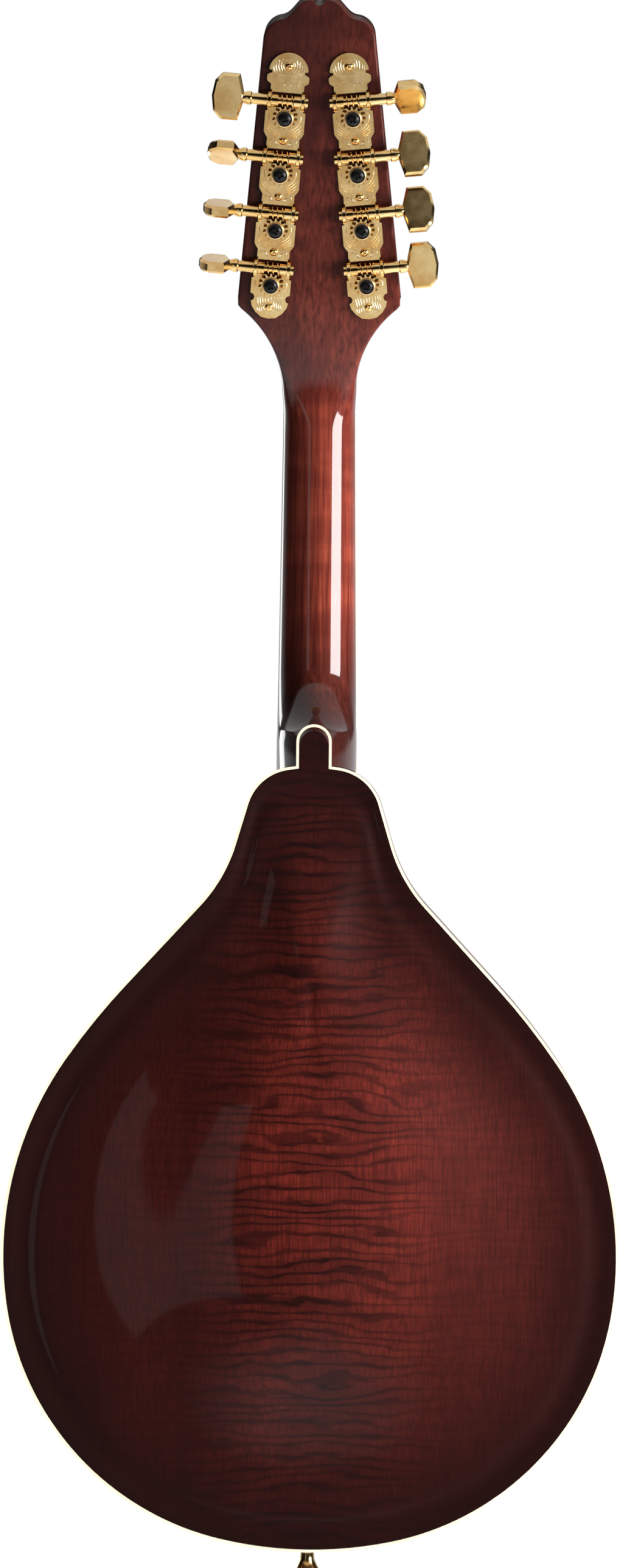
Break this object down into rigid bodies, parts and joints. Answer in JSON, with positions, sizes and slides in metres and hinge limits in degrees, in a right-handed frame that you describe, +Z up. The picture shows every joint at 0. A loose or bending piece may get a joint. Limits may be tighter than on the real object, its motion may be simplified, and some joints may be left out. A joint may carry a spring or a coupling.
{
  "type": "mandolin",
  "caption": "Teardrop carved mandolin with an oval soundhole, a notched head, open worm-gear tuners, an adjustable bridge and a covered tailpiece.",
  "frame": {"origin": "on the back of the neck at the nut, where a hanger's yoke holds the head", "axes": "+Z up the neck to the head, -Y out of the strings' side, +Y out of the carved back, +X to the treble side"},
  "size_m": [0.2558, 0.1101, 0.654],
  "materials": {
    "wine_maple": "gloss lacquer over red-brown stained maple",
    "wine_spruce": "gloss lacquer over stained spruce",
    "bare_spruce": "bare sanded wood",
    "cream_binding": "polished cream",
    "dark_wood": "oiled",
    "black_veneer": "gloss black",
    "gold_metal": "polished gold plate",
    "nickel_steel": "drawn",
    "bone": "polished bone"
  },
  "bodies": {
    "instrument": {"back_binding": "cream_binding", "back_lining_bass": "bare_spruce", "back_lining_treble": "bare_spruce", "back_plate": "wine_maple", "board_riser": "wine_maple", "bridge_foot": "dark_wood", "bridge_post_bass": "gold_metal", "bridge_post_treble": "gold_metal", "end_pin": "gold_metal", "fingerboard": "dark_wood", "front_lining_bass": "bare_spruce", "front_lining_treble": "bare_spruce", "head_block": "bare_spruce", "head_veneer": "black_veneer", "neck": "wine_maple", "nut": "bone", "rim": "wine_maple", "string_1": "nickel_steel", "string_2": "nickel_steel", "string_3": "nickel_steel", "string_4": "nickel_steel", "string_5": "nickel_steel", "string_6": "nickel_steel", "string_7": "nickel_steel", "string_8": "nickel_steel", "tail_block": "bare_spruce", "tailpiece_frame": "gold_metal", "top_binding": "cream_binding", "top_brace": "bare_spruce", "top_plate": "wine_spruce", "truss_rod": "nickel_steel", "truss_rod_cover": "black_veneer", "tuner_plate_bass": "gold_metal", "tuner_plate_treble": "gold_metal"},
    "tuner_worm_treble_1": {"tuner_worm_treble_1": "gold_metal"},
    "tuner_gear_treble_1": {"tuner_gear_treble_1": "gold_metal"},
    "tuner_worm_treble_2": {"tuner_worm_treble_2": "gold_metal"},
    "tuner_gear_treble_2": {"tuner_gear_treble_2": "gold_metal"},
    "tuner_worm_treble_3": {"tuner_worm_treble_3": "gold_metal"},
    "tuner_gear_treble_3": {"tuner_gear_treble_3": "gold_metal"},
    "tuner_worm_treble_4": {"tuner_worm_treble_4": "gold_metal"},
    "tuner_gear_treble_4": {"tuner_gear_treble_4": "gold_metal"},
    "tuner_worm_bass_1": {"tuner_worm_bass_1": "gold_metal"},
    "tuner_gear_bass_1": {"tuner_gear_bass_1": "gold_metal"},
    "tuner_worm_bass_2": {"tuner_worm_bass_2": "gold_metal"},
    "tuner_gear_bass_2": {"tuner_gear_bass_2": "gold_metal"},
    "tuner_worm_bass_3": {"tuner_worm_bass_3": "gold_metal"},
    "tuner_gear_bass_3": {"tuner_gear_bass_3": "gold_metal"},
    "tuner_worm_bass_4": {"tuner_worm_bass_4": "gold_metal"},
    "tuner_gear_bass_4": {"tuner_gear_bass_4": "gold_metal"},
    "thumbwheel_treble": {"thumbwheel_treble": "gold_metal"},
    "thumbwheel_bass": {"thumbwheel_bass": "gold_metal"},
    "bridge_saddle": {"bridge_saddle": "dark_wood"},
    "tailpiece_cover": {"tailpiece_cover": "gold_metal"},
    "truss_rod_nut": {"truss_rod_nut": "nickel_steel"}
  },
  "joints": [
    {"name": "tuner_worm_treble_1_turn", "type": "hinge", "parent": "instrument", "child": "tuner_worm_treble_1", "pos_m": [0.0193, 0.02175, 0.04931], "axis": [0.9963, 0.0295, 0.0811], "continuous": true},
    {"name": "tuner_gear_treble_1_turn", "type": "hinge", "parent": "instrument", "child": "tuner_gear_treble_1", "pos_m": [0.0199, 0.01599, 0.04398], "axis": [0, 0.9398, -0.3416], "continuous": true},
    {"name": "tuner_worm_treble_2_turn", "type": "hinge", "parent": "instrument", "child": "tuner_worm_treble_2", "pos_m": [0.0173, 0.02962, 0.07094], "axis": [0.9963, 0.0295, 0.0811], "continuous": true},
    {"name": "tuner_gear_treble_2_turn", "type": "hinge", "parent": "instrument", "child": "tuner_gear_treble_2", "pos_m": [0.01791, 0.02385, 0.06561], "axis": [0, 0.9398, -0.3416], "continuous": true},
    {"name": "tuner_worm_treble_3_turn", "type": "hinge", "parent": "instrument", "child": "tuner_worm_treble_3", "pos_m": [0.01531, 0.03748, 0.09257], "axis": [0.9963, 0.0295, 0.0811], "continuous": true},
    {"name": "tuner_gear_treble_3_turn", "type": "hinge", "parent": "instrument", "child": "tuner_gear_treble_3", "pos_m": [0.01591, 0.03171, 0.08724], "axis": [0, 0.9398, -0.3416], "continuous": true},
    {"name": "tuner_worm_treble_4_turn", "type": "hinge", "parent": "instrument", "child": "tuner_worm_treble_4", "pos_m": [0.01332, 0.04534, 0.1142], "axis": [0.9963, 0.0295, 0.0811], "continuous": true},
    {"name": "tuner_gear_treble_4_turn", "type": "hinge", "parent": "instrument", "child": "tuner_gear_treble_4", "pos_m": [0.01392, 0.03957, 0.10887], "axis": [0, 0.9398, -0.3416], "continuous": true},
    {"name": "tuner_worm_bass_1_turn", "type": "hinge", "parent": "instrument", "child": "tuner_worm_bass_1", "pos_m": [-0.0193, 0.02175, 0.04931], "axis": [0.9963, -0.0295, -0.0811], "continuous": true},
    {"name": "tuner_gear_bass_1_turn", "type": "hinge", "parent": "instrument", "child": "tuner_gear_bass_1", "pos_m": [-0.0199, 0.01599, 0.04398], "axis": [0, 0.9398, -0.3416], "continuous": true},
    {"name": "tuner_worm_bass_2_turn", "type": "hinge", "parent": "instrument", "child": "tuner_worm_bass_2", "pos_m": [-0.0173, 0.02962, 0.07094], "axis": [0.9963, -0.0295, -0.0811], "continuous": true},
    {"name": "tuner_gear_bass_2_turn", "type": "hinge", "parent": "instrument", "child": "tuner_gear_bass_2", "pos_m": [-0.01791, 0.02385, 0.06561], "axis": [0, 0.9398, -0.3416], "continuous": true},
    {"name": "tuner_worm_bass_3_turn", "type": "hinge", "parent": "instrument", "child": "tuner_worm_bass_3", "pos_m": [-0.01531, 0.03748, 0.09257], "axis": [0.9963, -0.0295, -0.0811], "continuous": true},
    {"name": "tuner_gear_bass_3_turn", "type": "hinge", "parent": "instrument", "child": "tuner_gear_bass_3", "pos_m": [-0.01591, 0.03171, 0.08724], "axis": [0, 0.9398, -0.3416], "continuous": true},
    {"name": "tuner_worm_bass_4_turn", "type": "hinge", "parent": "instrument", "child": "tuner_worm_bass_4", "pos_m": [-0.01332, 0.04534, 0.1142], "axis": [0.9963, -0.0295, -0.0811], "continuous": true},
    {"name": "tuner_gear_bass_4_turn", "type": "hinge", "parent": "instrument", "child": "tuner_gear_bass_4", "pos_m": [-0.01392, 0.03957, 0.10887], "axis": [0, 0.9398, -0.3416], "continuous": true},
    {"name": "bridge_saddle_height", "type": "slide", "parent": "instrument", "child": "bridge_saddle", "axis": [0, -1, 0], "range_m": [-0.0012, 0]},
    {"name": "thumbwheel_treble_turn", "type": "hinge", "parent": "bridge_saddle", "child": "thumbwheel_treble", "pos_m": [0.033, -0.04668, -0.34868], "axis": [0, -1, 0], "range_deg": [-617.64, 0]},
    {"name": "thumbwheel_bass_turn", "type": "hinge", "parent": "bridge_saddle", "child": "thumbwheel_bass", "pos_m": [-0.033, -0.04668, -0.34868], "axis": [0, -1, 0], "range_deg": [-617.64, 0]},
    {"name": "tailpiece_cover_slide", "type": "slide", "parent": "instrument", "child": "tailpiece_cover", "axis": [0, -0.1219, 0.9925], "range_m": [0, 0.016]},
    {"name": "truss_rod_nut_turn", "type": "hinge", "parent": "instrument", "child": "truss_rod_nut", "pos_m": [0, -0.00884, 0.0092], "axis": [0, 0.0867, 0.9962], "range_deg": [-360, 360]}
  ],
  "couplings": [
    {"joint": "tuner_gear_treble_1_turn", "follows": "tuner_worm_treble_1_turn", "ratio": -0.071429},
    {"joint": "tuner_gear_treble_2_turn", "follows": "tuner_worm_treble_2_turn", "ratio": -0.071429},
    {"joint": "tuner_gear_treble_3_turn", "follows": "tuner_worm_treble_3_turn", "ratio": -0.071429},
    {"joint": "tuner_gear_treble_4_turn", "follows": "tuner_worm_treble_4_turn", "ratio": -0.071429},
    {"joint": "tuner_gear_bass_1_turn", "follows": "tuner_worm_bass_1_turn", "ratio": -0.071429},
    {"joint": "tuner_gear_bass_2_turn", "follows": "tuner_worm_bass_2_turn", "ratio": -0.071429},
    {"joint": "tuner_gear_bass_3_turn", "follows": "tuner_worm_bass_3_turn", "ratio": -0.071429},
    {"joint": "tuner_gear_bass_4_turn", "follows": "tuner_worm_bass_4_turn", "ratio": -0.071429},
    {"joint": "thumbwheel_treble_turn", "follows": "bridge_saddle_height", "rad_per_m": 8976},
    {"joint": "thumbwheel_bass_turn", "follows": "bridge_saddle_height", "rad_per_m": 8976}
  ]
}
